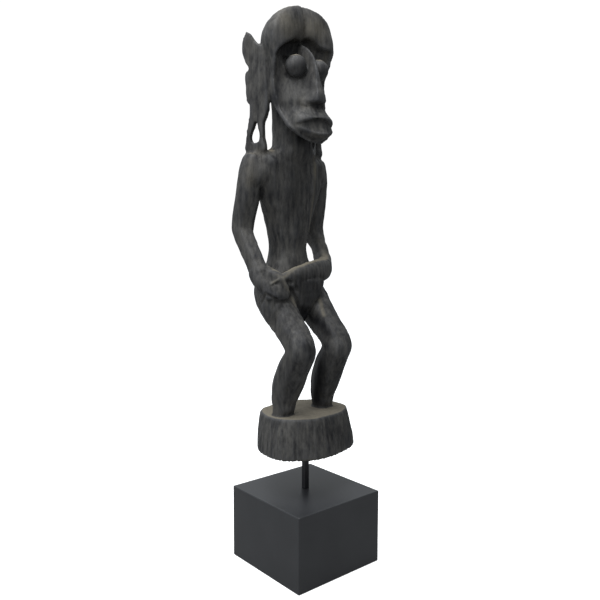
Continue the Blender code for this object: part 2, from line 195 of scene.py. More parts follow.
def softer_min(a, b, width):
    """The smaller of two depths, with a fillet of about this width."""
    h = np.clip(0.5 + 0.5 * (b - a) / width, 0.0, 1.0)
    return b * (1 - h) + a * h - width * h * (1 - h)


def along(table, z):
    """A value read at height z from rows of (z, value), with rounded changes."""
    rows = smooth_rows(sorted(table), 6)
    return np.interp(z, rows[:, 0], rows[:, 1])


# Head
HEAD_LOW = 285.8
HEAD_HIGH = 411.2
HEAD_WIDTH = [(285.8, 2), (287, 8), (290, 14), (294, 20), (299, 26), (306, 27.6), (315, 28.6),
              (325, 30.4), (335, 31.6), (348, 32.4), (358, 32.8), (367, 34.4), (374, 36.2), (382, 36.4),
              (391, 34.6), (398.5, 31), (404, 26.2), (408.4, 17.8), (411.2, 4.5)]
RIM_HALF = [(285.5, 1.5), (290, 13), (294, 19), (299, 25.4), (307.5, 26.4), (318, 26.4), (327, 28.5),
            (337, 30.5), (347, 30.6), (359, 31.6), (366, 31.6), (371, 31), (376, 30.2), (382, 28.5),
            (390, 26)]
RIM_DEPTH = [(285.5, -16), (290, -12.1), (294, -10.5), (299, -8), (307.5, -0.6), (318, 7.2), (327, 8.6),
             (337, 10.2), (347, 10.6), (359, 6.7), (367, 5.8), (376, 3.8), (390, 2)]
SIDE_DEPTH = [(285.5, -15), (290, -10), (299, -4), (307.5, 3), (318, 11), (327, 15), (337, 18),
              (347, 18), (360, 15), (376, 11), (390, 11), (412, 9)]
DISH_DEPTH = [(285.8, -10), (287.5, -15.4), (289, -17.6), (291, -20.6), (292.6, -22.6), (295, -22.9),
              (299, -22), (304, -22.2), (307.8, -22), (310, -20.6), (313, -18.2), (316, -16),
              (320, -13.6), (324, -11.6), (329, -9.4), (335, -7.2), (341, -5), (348, -2.3), (353, 0.8),
              (357, 5.5), (361, 10), (365, 13), (369, 14), (374, 13.6), (380, 13), (388, 12.5)]
DISH_HOLLOW = [(300, 0), (309, 0), (318, 1.2), (330, 2.2), (340, 2.4), (350, 2), (358, 2.6), (364, 4.6),
               (370, 5.6), (376, 5), (384, 4)]
NOSE_RIDGE = [(318.4, -10), (321.8, -20.2), (323.5, -21.1), (328, -20.9), (334.8, -18.5), (340.5, -16.9),
              (345, -15.8), (350.7, -14.4), (356, -12.8), (361.8, -11), (365.2, -9), (369, -5.5),
              (372.1, -1.4), (376.2, 5.2), (380.8, 10.6), (386, 16)]
NOSE_FLAT = [(318, 4.8), (328, 4.3), (335, 3.1), (341, 2.1), (348, 1.3), (360, 0.9), (372, 0.7), (382, 0.5)]
NOSE_FOOT = [(318, 9.6), (321, 12), (324, 12.8), (328, 11.6), (339, 9), (350, 7.8), (360, 6.6),
             (368, 5.6), (376, 4.6), (382, 4)]
LIP_HALF = [(285.8, 6), (288, 9), (291, 12.5), (294, 16.6), (297, 20.4), (300, 22.4), (303, 23),
            (306, 22.4), (308, 21), (310.5, 19.4), (314, 18.4), (322, 18), (340, 18)]
BROW_VALLEY = [(370, 7), (379, 6.6), (382, 5.6), (385, 4.2), (388, 3), (392, 2), (397, 1.4), (406, 1)]
VALLEY_HALF = [(370, 18), (379, 18), (382, 16), (386, 12.5), (390, 9), (396, 7), (406, 6)]
BROW_NEAR = [(0, 379.6), (4, 380.4), (8, 380.4), (13, 379.2), (19, 376.4), (25, 372.7), (29.5, 369),
             (32, 365), (36, 360)]
BROW_FAR = [(0, 379.6), (2.5, 382.4), (6, 383.2), (9.5, 382.4), (12.5, 380.4), (15.5, 377.8), (19, 376),
            (24, 375.6), (30, 376), (36, 376.6)]
EYE = (13.6, 0.0, 354.9)
EYE_RADIUS = 9.8
EYE_SOCKET = 11.6
CROWN_FROM, CROWN_RISE, CROWN_POWER = 376, 36.4, 2.6
LEAN, CRACK_LEAN, LEAN_FROM, LEAN_TO = 4.0, 4.6, 385, 410
NOSE_UNDERSIDE = 318.4
MOUTH_HALF = 22.5
UPPER_LIP, UPPER_BOW = 307.0, 5.2
LOWER_LIP, LOWER_BOW = 294.0, 6.0
SKULL_FROM, SKULL_RISE = 372, 38.8
NAPE, SKULL_DEPTH = 8, 35
JAW_SLANT_FROM = 302.5


def face_dish(x, wide, z, rim, rim_y):
    """The cheeks between the rim and the foot of the nose, and the lips' bow below them."""
    deep, foot = along(DISH_DEPTH, z), along(NOSE_FOOT, z)
    inward = np.clip((rim - wide) / (rim - foot), 0, 1)
    inward = inward ** (1 + 1.5 * (x > 0) * ramp(z, 350, 364))
    cheek = rim_y + (deep - rim_y) * inward + along(DISH_HOLLOW, z) * 1.9 * inward ** 0.6 * (1 - inward)
    bow = deep + 10.6 * np.minimum((wide / along(LIP_HALF, z)) ** 2.2, 2.5)
    bow = bow + (rim_y - bow) * ramp(wide, rim - 8.0, rim)
    mixed = ramp(z, 308, 330)
    return bow * (1 - mixed) + cheek * mixed


def head_front(x, z):
    """Depth of the face: forehead, dished cheeks, long nose and bill-like lips."""
    wide = np.abs(x)
    half = along(HEAD_WIDTH, z)
    rim, rim_y = along(RIM_HALF, z), along(RIM_DEPTH, z)
    rim = np.minimum(rim, half - 0.4)
    side_y = along(SIDE_DEPTH, z)
    crown = np.clip(1 - (np.clip(z - CROWN_FROM, 0, None) / CROWN_RISE) ** CROWN_POWER, 0, 1)
    crown = crown ** (1 / CROWN_POWER)
    share = np.clip(wide / half, 0, 1)
    brow = np.where(x < 0, along(BROW_NEAR, wide), along(BROW_FAR, wide))
    forehead = 11.2 - 10.2 * crown * (1 - share ** 4.5) ** (1 / 4.5)
    from_crack = np.abs(x + CRACK_LEAN * ramp(z, LEAN_FROM, LEAN_TO)
                        - 0.5 * np.sin(z / 3.1) * ramp(z, 386, 392))
    valley = np.clip(1 - from_crack / along(VALLEY_HALF, z), 0, 1) ** 1.5
    forehead = forehead + along(BROW_VALLEY, z) * valley
    forehead = forehead + 1.2 * np.exp(-(from_crack / 0.7) ** 2) * ramp(z, 384, 390)
    forehead = forehead - 1.2 * ramp(wide, 14, 31) * (1 - ramp(z, 384, 402))
    forehead = forehead + 1.2 * np.clip(1 - (z - brow) / 1.8, 0, 1) ** 2 * (1 - ramp(wide, 24, 33))
    turn = 1.6 + 3.4 * ramp(z, 345, 366)
    out = np.clip((wide - rim) / (half - rim), 0, 1)
    cheek = rim_y + (side_y - rim_y) * out ** turn - 3.0 * ramp(z, 352, 372) * ramp(out, 0.1, 0.7)
    face = np.where(wide < rim, face_dish(x, wide, z, rim, rim_y), cheek)
    face = face - 0.7 * np.exp(-((wide - rim) / 1.1) ** 2) * ramp(z, 292, 304) * (1 - ramp(z, 366, 374))
    flat, foot, ridge = along(NOSE_FLAT, z), along(NOSE_FOOT, z), along(NOSE_RIDGE, z)
    slope = (along(DISH_DEPTH, z) + 1.5 - ridge) / (foot - flat)
    nose = ridge + np.clip(wide - flat, 0, None) * slope + 60 * np.clip(wide - foot - 2, 0, None)
    face = softer_min(face, np.where(z > NOSE_UNDERSIDE, nose, 60.0), 1.0)
    from_eye = np.hypot(wide - EYE[0], z - EYE[2])
    face = face + 3.0 * ramp(EYE_SOCKET - from_eye, -0.6, 1.8) * ramp(18.5 - wide, -4, 4)
    upper = UPPER_LIP - UPPER_BOW * (wide / MOUTH_HALF) ** 2
    lower = LOWER_LIP + LOWER_BOW * (wide / MOUTH_HALF) ** 2
    opened = ramp(upper - z, -0.2, 0.7) * ramp(z - lower, -0.3, 0.9) * ramp(21.4 - wide, -0.4, 0.8)
    face = face + opened * (0.9 + 3.0 * np.clip((z - lower) / (upper - lower), 0, 1))
    under = ramp(brow - z, -0.3, 1.2)
    return forehead * (1 - under) + face * under


def head_back(x, z):
    """Depth of the skull's back above, and of the slanting underside of the jaw below."""
    half = along(HEAD_WIDTH, z)
    side_y = along(SIDE_DEPTH, z)
    crown = np.sqrt(np.clip(1 - (np.clip(z - SKULL_FROM, 0, None) / SKULL_RISE) ** 2, 0, 1))
    reach = np.sqrt(np.clip(1 - np.abs(x / half) ** 2.4, 0, 1))
    skull = NAPE + SKULL_DEPTH * crown
    jaw = z - JAW_SLANT_FROM
    return side_y + (np.maximum(np.minimum(skull, jaw), side_y + 1.5) - side_y) * reach


def head(levels=210, across=150):
    """A closed body between the front and back depths, level by level; the crown leans a little."""
    turn = np.linspace(-math.pi / 2, math.pi / 2, across)
    rings = []
    for t in np.linspace(0.02, math.pi - 0.02, levels):
        z = HEAD_LOW + (HEAD_HIGH - HEAD_LOW) * (1 - math.cos(t)) / 2
        zs = np.full(across, z)
        x = along(HEAD_WIDTH, z) * np.sin(turn) * 0.999
        front, back = head_front(x, zs), head_back(x, zs)
        back = np.maximum(back, front + 0.4)
        x = x + LEAN * ramp(zs, LEAN_FROM, LEAN_TO)
        fore = np.stack([x, front, zs], axis=1)
        rear = np.stack([x, back, zs], axis=1)[::-1]
        rings.append(np.vstack([fore, rear]))
    return rings_to_body(rings)


# Ear: outline in its own plane, (how far towards the back, height)
EAR_MIDDLE = (37.0, 29.4)
EAR_FLARE = math.radians(25)
EAR_THICK = 6.2
EAR_OUTLINE = [(7.6, 387.0), (10.2, 382.5), (12.0, 376), (11.4, 367), (8.8, 359), (5.6, 353.4),
               (9.4, 350.4), (8.9, 337), (7.3, 325), (4.4, 322), (4.3, 313), (6.2, 304), (8.0, 294),
               (8.2, 279), (-10.6, 279), (-9.8, 291), (-9.4, 300), (-9.6, 306), (-12.2, 311.5),
               (-14, 319), (-14, 332), (-13, 350), (-11.5, 366), (-9, 372), (-5.2, 374.6), (-0.4, 378.6),
               (4.2, 384.6)]
EAR_SLIT = [(-1.6, 308.5), (-3.9, 300), (-5.2, 293.5), (-4.0, 288.4), (1.8, 288.2), (3.6, 293.5),
            (1.0, 301)]


def ear():
    """A flat plate with a long slit in its lobe."""
    out = np.array([math.sin(EAR_FLARE), math.cos(EAR_FLARE), 0.0])
    normal = np.array([math.cos(EAR_FLARE), -math.sin(EAR_FLARE), 0.0])
    mesh = bmesh.new()
    edges = []
    for loop in (EAR_OUTLINE, EAR_SLIT):
        closed = smooth_rows(list(loop) + [loop[0]], 3)[:-1]
        made = []
        for back, z in closed:
            spot = np.array([EAR_MIDDLE[0], EAR_MIDDLE[1], z]) + back * out - EAR_THICK / 2 * normal
            made.append(mesh.verts.new(spot))
        for i, vert in enumerate(made):
            edges.append(mesh.edges.new((vert, made[(i + 1) % len(made)])))
    bmesh.ops.triangle_fill(mesh, use_beauty=True, edges=edges)
    grown = bmesh.ops.extrude_face_region(mesh, geom=mesh.faces[:])
    moved = [item for item in grown["geom"] if isinstance(item, bmesh.types.BMVert)]
    bmesh.ops.translate(mesh, verts=moved, vec=Vector(normal * EAR_THICK))
    bmesh.ops.recalc_face_normals(mesh, faces=mesh.faces[:])
    mesh.verts.index_update()
    points = [tuple(v.co) for v in mesh.verts]
    faces = [tuple(v.index for v in f.verts) for f in mesh.faces]
    mesh.free()
    return points, faces


def stub():
    """The rough oval end of the log; its outline wanders a little from an oval."""
    count = 220
    angle = np.arange(count) * 2 * math.pi / count
    u, v = hewn_oval(count, 2.25)
    rings = []
    for z, a, b, x, y, rough in ((-2.0, 48.4, 38.2, 6.6, 7.6, 0.02), (-0.6, 49.6, 39.2, 6.6, 7.6, 0.025),
                                 (9.0, 49.0, 38.8, 6.5, 7.8, 0.022), (20.0, 47.0, 37.2, 5.9, 8.2, 0.016),
                                 (33.5, 44.2, 35.0, 5.2, 8.6, 0.014), (35.6, 43.4, 34.2, 5.2, 8.6, 0.014),
                                 (36.3, 30.0, 24.0, 5.2, 8.6, 0.01)):
        wander = 1 + rough * (np.cos(3 * angle + 0.6) + 0.7 * np.cos(5 * angle + 2.1)
                              + 0.5 * np.cos(7 * angle + z * 0.05))
        rings.append(np.stack([x + a * u * wander, y + b * v * wander, np.full(count, z)], axis=1))
    return rings_to_body(rings)


def leg():
    """From the stub over the bent knee into the hip."""
    return limb([(25.2, 4.6, 28, 9.6, 9.8), (24.8, 4.4, 37, 9.4, 9.4), (24.2, 3.0, 44, 10.4, 10.6),
                 (24.0, 2.4, 52, 11.5, 12.1), (23.5, -1.2, 64, 13.0, 13.9), (23.1, -5.6, 74, 13.4, 14.5),
                 (22.8, -10.8, 84, 13.2, 14.0), (22.5, -16.4, 93, 13.0, 13.2),
                 (22.7, -19.2, 100, 13.6, 13.2), (22.7, -13.6, 109, 13.8, 12.8),
                 (22.7, -1.0, 121, 14.6, 13.9), (22.4, 15.2, 137, 16.4, 16.2),
                 (21.2, 25.5, 150, 15.8, 17.2), (19.0, 28.0, 165, 13.5, 17.0)],
                power=2.3, planes=7, turned=0.5)


def arm(wrist):
    """Upper arm and forearm as one limb; wrist holds the rows beyond the elbow."""
    upper = [(38.0, 30.2, 277, 6.8, 8.5), (39.1, 31.0, 271, 9.4, 10.4), (40.6, 31.8, 260, 10.2, 11.2),
             (41.4, 34.6, 243, 10.9, 11.2), (42.5, 38.6, 226, 10.8, 10.7), (43.4, 40.8, 212, 10.2, 10.3),
             (44.1, 38.8, 204, 9.3, 9.9)]
    return limb(upper + wrist, power=2.3, planes=6, turned=0.3, crisp=0.65)


def figure_bodies():
    """Every form of the carving; they are fused into one solid afterwards."""
    bodies = [stub()]
    bodies += both(leg())
    # Kneecaps
    bodies += both(ball((22.6, -24.2, 99.5), (8.6, 7.6, 9.6)))
    # Trunk, from hips to shoulders
    bodies.append(level_loft([(0, 26, 139, 29, 15), (0, 27, 150, 31.5, 20), (0, 27, 162, 30, 21.5),
                              (0, 26.8, 172, 24.2, 18.4), (0, 27, 182, 20.0, 16.6),
                              (0, 27.2, 192, 18.6, 16.0), (0, 26.4, 206, 20.6, 18.0),
                              (0, 26.2, 220, 23.6, 19.4), (0, 26.6, 236, 29.8, 20.4),
                              (0, 26, 247, 33, 20.4), (0, 26, 261, 36, 19.6), (0, 26, 271, 38.5, 18.6),
                              (0, 27, 277, 36.5, 15.5), (0, 27, 281, 28, 12), (0, 26, 284, 18, 9)],
                             power=2.35, planes=9, turned=0.4))
    # Shoulders
    bodies += both(limb([(18, 24, 267, 8.0, 9.0), (27, 24, 265, 11.0, 10.5), (35, 27.5, 260, 12.4, 11.5),
                         (39.5, 31.5, 252, 11.0, 9.5)], power=2.0, side=(0.0, 0.0, 1.0)))
    # Neck
    bodies.append(level_loft([(0, 26.0, 260, 22, 15), (0, 25.2, 268, 26, 17.8),
                              (0, 23.6, 277, 25.5, 19.0), (0, 22, 284, 20.2, 19.2),
                              (0, 21.3, 292, 18.4, 19.2), (0, 21, 305, 18.3, 19.5), (0, 21, 318, 18.8, 20),
                              (0, 20, 332, 21, 22)], power=2.1, planes=9))
    near = arm([(42.8, 31.0, 190, 8.7, 9.1), (41.2, 23.5, 177, 8.7, 9.2), (40.2, 17.5, 167, 9.6, 9.6)])
    bodies.append(mirrored(near))
    bodies.append(arm([(44.0, 33.4, 196, 8.0, 8.4)]))
    # Far forearm and hand, across the lower belly
    bodies.append(limb([(44.0, 39.6, 206, 9.2, 9.2), (44.0, 33.0, 194, 8.4, 7.8),
                        (41.8, 24.8, 183, 8.8, 7.8), (36.6, 16.0, 175, 9.4, 8.2),
                        (29, 9.2, 170.5, 10.6, 8.0), (17, 5.2, 168.4, 11.2, 7.0),
                        (4, 2.6, 166.8, 11.2, 6.2), (-10, 1.4, 164.0, 10.4, 5.6),
                        (-22, 1.6, 161.0, 8.4, 4.8), (-30, 3.4, 159.5, 6.0, 3.8)],
                       power=2.4, count=72, side=(0.0, 0.0, 1.0)))
    # Near hand, on the hip
    bodies.append(limb([(-41.2, 21, 172, 9.2, 8.6), (-38.6, 14.0, 163, 11.6, 8.0),
                        (-34.0, 7.6, 155, 12.8, 7.4), (-31.6, 4.0, 148.5, 12.0, 6.6),
                        (-31.0, 4.2, 145.0, 10.5, 4.5)], power=2.7, side=(0.97, -0.24, 0.0)))
    # Wood left between the two hands
    bodies.append(limb([(-39.5, 19, 174, 6.0, 5.4), (-36.0, 11.6, 168, 7.0, 5.4),
                        (-31.0, 5.4, 163.0, 7.0, 5.0), (-26.0, 3.4, 160.0, 5.5, 4.0)],
                       power=2.1, side=(0.7, -0.7, 0.0)))
    # Near hip, under the hand
    bodies.append(limb([(-35.0, 14.5, 155, 9.0, 8.0), (-33.0, 11.0, 145, 11.6, 9.8),
                        (-30.0, 8.4, 134, 12.4, 10.6), (-26.5, 4.6, 122, 9.8, 8.2),
                        (-24.5, 1.6, 112, 5.5, 4.5)], power=2.1))
    # Lower belly
    bodies.append(level_loft([(-3, 8, 119, 3.5, 4), (-2.5, 7, 127, 8.5, 7), (-1.5, 5.5, 137, 13.5, 8),
                              (1.0, 4.6, 146, 18, 9.0), (2.0, 5.2, 154, 21.5, 10.2),
                              (2.5, 6.4, 161, 22.5, 11.2), (2.5, 8.6, 167, 20, 9.2)], power=2.3))
    bodies.append(head())
    bodies += both(ear())
    bodies += both(ball(EYE, (EYE_RADIUS, EYE_RADIUS, EYE_RADIUS)))
    return bodies


def mesh_object(name, points, faces):
    """A new object in the scene from points and faces."""
    data = bpy.data.meshes.new(name)
    data.from_pydata([tuple(p) for p in points], [], faces)
    made = bpy.data.objects.new(name, data)
    bpy.context.scene.collection.objects.link(made)
    return made


def to_frame(drawn):
    """Drawing units to metres in the frame."""
    out = np.asarray(drawn, float) * UNIT
    out[:, 2] += FIGURE_BASE + ZERO_LINE * UNIT
    return out


def to_drawing(placed):
    """Metres in the frame to drawing units."""
    out = np.array(placed, float)
    out[:, 2] -= FIGURE_BASE + ZERO_LINE * UNIT
    return out / UNIT


def applied(made):
    """The object's modifiers worked into its mesh."""
    depsgraph = bpy.context.evaluated_depsgraph_get()
    done = bpy.data.meshes.new_from_object(made.evaluated_get(depsgraph))
    old = made.data
    made.modifiers.clear()
    made.data = done
    bpy.data.meshes.remove(old)


def read_points(data):
    flat = np.empty(len(data.vertices) * 3, np.float32)
    data.vertices.foreach_get("co", flat)
    return flat.reshape(-1, 3).astype(float)


def read_normals(data):
    flat = np.empty(len(data.vertices) * 3, np.float32)
    data.vertex_normals.foreach_get("vector", flat)
    return flat.reshape(-1, 3).astype(float)


def write_points(data, points):
    data.vertices.foreach_set("co", points.astype(np.float32).ravel())
    data.update()


def read_edges(data):
    flat = np.empty(len(data.edges) * 2, np.int32)
    data.edges.foreach_get("vertices", flat)
    return flat.reshape(-1, 2)


def neighbour_mean(values, edges, counts):
    """The mean of each point's neighbours along the edges; counts holds how many it has."""
    out = np.zeros_like(values)
    a, b = edges[:, 0], edges[:, 1]
    if values.ndim == 1:
        out += np.bincount(a, values[b], len(values)) + np.bincount(b, values[a], len(values))
        return out / counts
    for k in range(values.shape[1]):
        out[:, k] = np.bincount(a, values[b, k], len(values)) + np.bincount(b, values[a, k], len(values))
    return out / counts[:, None]


def unevenness(points, stretch, seed, waves=14):
    """Slow, irregular waves from -1 to 1; stretch is the wave length in x, y and z."""
    rng = np.random.RandomState(seed)
    total = np.zeros(len(points))
    for i in range(waves):
        way = rng.normal(size=3)
        way = way / np.linalg.norm(way) * (0.6 + 0.9 * rng.rand())
        total += np.sin(points @ (way * 2 * math.pi / np.array(stretch)) + rng.rand() * 6.283)
    return total / math.sqrt(waves) * 1.2


# Fine relief: paths over the skin as (x, y, z), how wide, and how far out (or in, below zero)
HAND_EDGE = [(-29.3, -1.8, 163.7), (-26.3, -2.5, 157.2), (-20.5, -1.0, 150.0), (-16.5, 1.1, 145.4),
             (-14.0, -0.9, 138.0)]
CUTS = [([(-45.2, 11.9, 141.3), (-44.9, 3.7, 150.5), (-41.4, 0.3, 148.5), (-38.0, -0.8, 146.2),
          (-35.8, -1.4, 144.9), (-39.2, -0.5, 137.8)], 1.3, -1.7),
        ([(-36.2, -1.4, 145.2), (-35.6, -1.4, 143.6)], 2.0, -1.4),
        ([(-34.6, -0.8, 142.6), (-29.0, -2.0, 142.2), (-23.0, -2.0, 143.6)], 1.2, -1.5),
        ([(-39.2, 2.4, 159.4), (-35.3, 2.3, 161.4), (-32.5, -0.1, 163.3)], 0.9, 1.0),
        ([(-39.2, 2.4, 157.2), (-35.3, 2.3, 159.0), (-32.5, -0.1, 160.6)], 1.0, -0.9),
        (HAND_EDGE, 1.5, 1.0),
        ([(-24.8, -2.8, 161.8), (-21.4, -3.4, 156.2), (-16.2, 0.0, 149.6), (-12.4, -1.0, 144.0),
          (-10.0, -2.0, 136.0)], 1.5, -1.9),
        ([(-22.8, -3.2, 161.2), (-20.0, -3.4, 160.4)], 2.3, -2.4),
        ([(-13.4, -3.4, 166.8), (-12.8, -3.4, 158.5), (-10.2, -2.2, 153.6), (-5.6, -2.6, 151.2),
          (0.6, -3.6, 152.6)], 1.0, 1.1),
        ([(-15.4, -3.4, 165.0), (-15.2, -3.4, 158.0), (-12.0, -2.2, 151.6), (-6.0, -2.6, 148.8),
          (1.4, -3.6, 150.0)], 1.1, -1.0),
        ([(-3.3, -3.4, 150.2), (-3.3, -3.4, 146.0)], 0.9, 1.0),
        ([(-6.0, -1.2, 134.0), (-2.0, -1.0, 129.0), (2.0, -1.0, 133.0)], 3.4, -2.0),
        ([(8.0, -3.0, 164.0), (10.5, -3.0, 157.0), (9.0, -3.0, 150.0)], 1.2, -1.0),
        ([(16.0, -1.0, 166.0), (17.5, -1.0, 158.0)], 1.2, -0.8)]

# Rings cut on the lower belly: radius, width, and how far out or in
RING_MIDDLE = (0.8, -3.4, 157.4)
RINGS = [(3.5, 0.9, 1.1), (0.6, 1.2, -1.5), (5.4, 0.8, -0.9)]

# The hand-cut skin: how far the planes and the tool marks rise, and the stub's fluting and fray
PLANES_RISE, MARKS_RISE = 0.32, 0.14
PLANES_STRETCH, MARKS_STRETCH = (17, 17, 46), (5, 5, 15)
STUB_MIDDLE, STUB_HALF = (6.6, 7.8), (48, 38)
FLUTE_TURNS = (17, 23, 29, 37, 43, 53, 61, 71, 83, 97)
FLUTE_RISE = 0.17
FRAY_RISE = 0.45

# Where pale dust lies mixed with painted light on lit edges and planes, and where painted shade darkens
# creases and shaded places: paths, how wide, and how strong
DUST_AND_PAINTED_LIGHT_PATHS = [([(18, 8, 278), (16.5, 8.5, 255), (14.5, 9, 237), (12.5, 10.5, 208)], 2.6, 0.9),
         ([(26, 6, 181), (13.6, 1.9, 179.4), (-13.1, -1.2, 173.7), (-28.2, -2.0, 165.5)], 2.2, 0.8),
         ([(-34.5, 1.0, 168.5), (-28.2, -2.0, 164.5)], 2.8, 0.6),
         (HAND_EDGE, 2.4, 0.7),
         ([(-39.2, 2.4, 159.8), (-35.3, 2.3, 161.8), (-32.5, -0.1, 163.6)], 1.3, 0.8),
         ([(17.0, -0.7, 141.8), (15.0, -6.0, 134.0), (13.8, -10.1, 128.4)], 2.6, 0.8),
         ([(-47.5, 23.0, 270), (-48.5, 23.0, 250)], 8.0, 0.5),
         ([(-40, 24, 278), (-26, 20, 281)], 6.0, 0.5),
         ([(41.0, 16.0, 186), (41.0, 24.0, 200)], 8.0, 0.5), ([(-15, -9, 324), (-12, -12, 318)], 6.0, 0.4),
         ([(-24, 1, 394), (-20, 1, 386), (16, 1, 394)], 15.0, 0.58),
         ([(28, 4, 374), (27, 6, 366), (24, 6, 358)], 3.5, 0.5),
         ([(-10, -20, 292), (10, -20, 292)], 3.5, 0.5), ([(-16, -8, 297), (-24, -2, 303)], 2.5, 0.3)]
# Painted shade: the crotch, between the legs, under the far arm and hands, the neck, under the brows,
# beside the nose and on shaded knee and calf planes
PAINTED_SHADE_PATHS = [([(-4, 2, 150), (-2, 0, 134), (-1, 0, 124)], 9.0, 0.4),
            ([(-4.6, -1.0, 133), (0.5, 0.6, 128), (0, 4, 118)], 8.0, 0.97),
            ([(-10, -6, 128), (-10, -20, 112)], 6.0, 0.7),
            ([(8.7, 2.0, 124), (10.9, -10.5, 121), (11.5, -18, 114)], 7.5, 0.9),
            ([(10.5, -6, 98), (10.6, -9, 78), (13, -4, 60), (14, 2, 45)], 8.5, 0.98),
            ([(24, -20, 80), (25, -10, 56)], 10.0, 0.5),
            ([(-26, -32, 104), (-17, -32, 100), (-21, -32, 95)], 4.6, 0.65),
            ([(24.7, -30, 107), (28, -30, 98)], 4.6, 0.5),
            ([(4, -4, 160), (-8, -4, 158), (-4, -3, 146)], 10.0, 0.7),
            ([(16, -2, 160), (14, 0, 150)], 7.0, 0.6),
            ([(-33, -18, 88), (-30, -8, 60)], 9.0, 0.5),
            ([(-31, -14, 124), (-33, -6, 136)], 9.0, 0.35),
            ([(24, -16, 122), (25, -4, 135)], 9.0, 0.45),
            ([(-26, 14, 255), (-28, 18, 238)], 6.0, 0.6),
            ([(-14, 8, 262), (-10, 8, 228)], 16.0, 0.5),
            ([(-4, 3, 300), (-6, 3, 290)], 8.0, 0.6),
            ([(13.6, -9, 355), (13.6, -9, 353)], 7.0, 0.35),
            ([(-13.6, -9, 355), (-13.6, -9, 353)], 7.0, 0.5), ([(0, 0, 374), (0, -9, 364)], 5.0, 0.5),
            ([(-6, -10, 345), (-7, -13, 330)], 6.0, 0.55),
            ([(0, 10, 374), (-20, 11, 370)], 8.0, 0.4),
            ([(-28, -1, 150), (-34, 1, 146)], 6.0, 0.35),
            ([(14, -30, 20), (30, -26, 16)], 16.0, 0.45),
            ([(-20, -24, 20), (-8, -28, 18)], 12.0, 0.25),
            ([(-52, 32, 245), (-52, 34, 222)], 6.0, 0.35)]

# The rounded-over joins: where, and how far the rounding reaches
MELTED = [((34, 29, 266), 19), ((-34, 29, 266), 19), ((20, 22, 277), 14), ((-20, 22, 277), 14),
          ((-38, 12, 163), 8), ((44, 30, 186), 9)]
MELT_ROUNDS, MELT_STEP = 90, 0.6


def near_path(points, path, wide):
    """A bell-shaped share, 1 on the path and almost 0 beyond twice the width."""
    path = np.asarray(path, float)
    share = np.zeros(len(points))
    reach = 2.6 * wide
    past_low, past_high = points > path.min(axis=0) - reach, points < path.max(axis=0) + reach
    inside = np.flatnonzero(np.all(past_low & past_high, axis=1))
    if len(inside) == 0:
        return share
    best = np.full(len(inside), 1e9)
    for a, b in zip(path[:-1], path[1:]):
        way = b - a
        t = np.clip((points[inside] - a) @ way / (way @ way), 0, 1)
        best = np.minimum(best, np.linalg.norm(points[inside] - a - t[:, None] * way, axis=1))
    share[inside] = np.exp(-(best / wide) ** 2)
    return share


def ring_path(radius):
    """A circle on the belly, facing forwards."""
    x, y, z = RING_MIDDLE
    turn = np.linspace(0, 2 * math.pi, 17)
    return [(x + radius * math.cos(a), y, z + radius * math.sin(a)) for a in turn]


def melt(points, edges):
    """Rounds over the listed joins, so that one form flows into the next."""
    counts = np.bincount(edges.ravel(), minlength=len(points))
    share = np.zeros(len(points))
    for place, reach in MELTED:
        away = np.linalg.norm(points - place, axis=1)
        share = np.maximum(share, 1 - ramp(away, 0.45 * reach, reach))
    for _ in range(MELT_ROUNDS):
        points = points + MELT_STEP * share[:, None] * (neighbour_mean(points, edges, counts) - points)
    return points


def carve(points, normals):
    """The hand-cut surface: uneven planes, cuts, and the log's rough, frayed end."""
    x, y, z = points.T
    skin = PLANES_RISE * unevenness(points, PLANES_STRETCH, 3)
    skin += MARKS_RISE * unevenness(points, MARKS_STRETCH, 5)
    stub_part = 1 - ramp(z, 34.5, 38.5)
    across, deep = (x - STUB_MIDDLE[0]) / STUB_HALF[0], (y - STUB_MIDDLE[1]) / STUB_HALF[1]
    angle = np.arctan2(deep, across)
    sides = 1 - ramp(np.abs(normals[:, 2]), 0.5, 0.85)
    rng = np.random.RandomState(9)
    fluting = np.zeros(len(points))
    for turns in FLUTE_TURNS:
        drift = 0.9 * np.sin(z * (0.05 + 0.1 * rng.rand()) + 6.28 * rng.rand())
        fluting += 0.32 * np.sin(angle * turns + drift + 6.28 * rng.rand()) * (1 + 0.5 * math.sin(turns))
    skin = skin * (1 - 0.6 * stub_part) + FLUTE_RISE * fluting * stub_part * sides
    for path, wide, far in CUTS + [(ring_path(radius), wide, far) for radius, wide, far in RINGS]:
        skin += far * near_path(points, path, wide)
    out = points + normals * skin[:, None]
    fray = (np.sin(angle * 61) + np.sin(angle * 97 + 1.3) + 0.8 * np.sin(angle * 37 + 0.4)) * 0.5
    low = 1 - ramp(z, 0.0, 9.0)
    out[:, 2] += low * np.clip(fray, -0.6, 1.4) * FRAY_RISE * ramp(np.hypot(across, deep), 0.80, 0.97)
    return out


def carved_figure():
    """All forms fused by a voxel remesh, rounded over, carved, and thinned to at most MOST_TRIANGLES
    triangles.
    """
    points, faces = [], []
    for body_points, body_faces in figure_bodies():
        start = len(points)
        points += [tuple(p) for p in body_points]
        faces += [tuple(start + i for i in face) for face in body_faces]
    made = mesh_object("carved_figure", to_frame(points), faces)
    fuse = made.modifiers.new("Fuse", "REMESH")
    fuse.mode = "VOXEL"
    fuse.voxel_size = VOXEL
    soften = made.modifiers.new("Soften", "SMOOTH")
    soften.factor = 0.5
    soften.iterations = 2
    applied(made)
    data = made.data
    write_points(data, to_frame(melt(to_drawing(read_points(data)), read_edges(data))))
    write_points(data, to_frame(carve(to_drawing(read_points(data)), read_normals(data))))
    data.calc_loop_triangles()
    if len(data.loop_triangles) > MOST_TRIANGLES:
        thin = made.modifiers.new("Thin", "DECIMATE")
        thin.ratio = MOST_TRIANGLES / len(data.loop_triangles)
        applied(made)
    return made


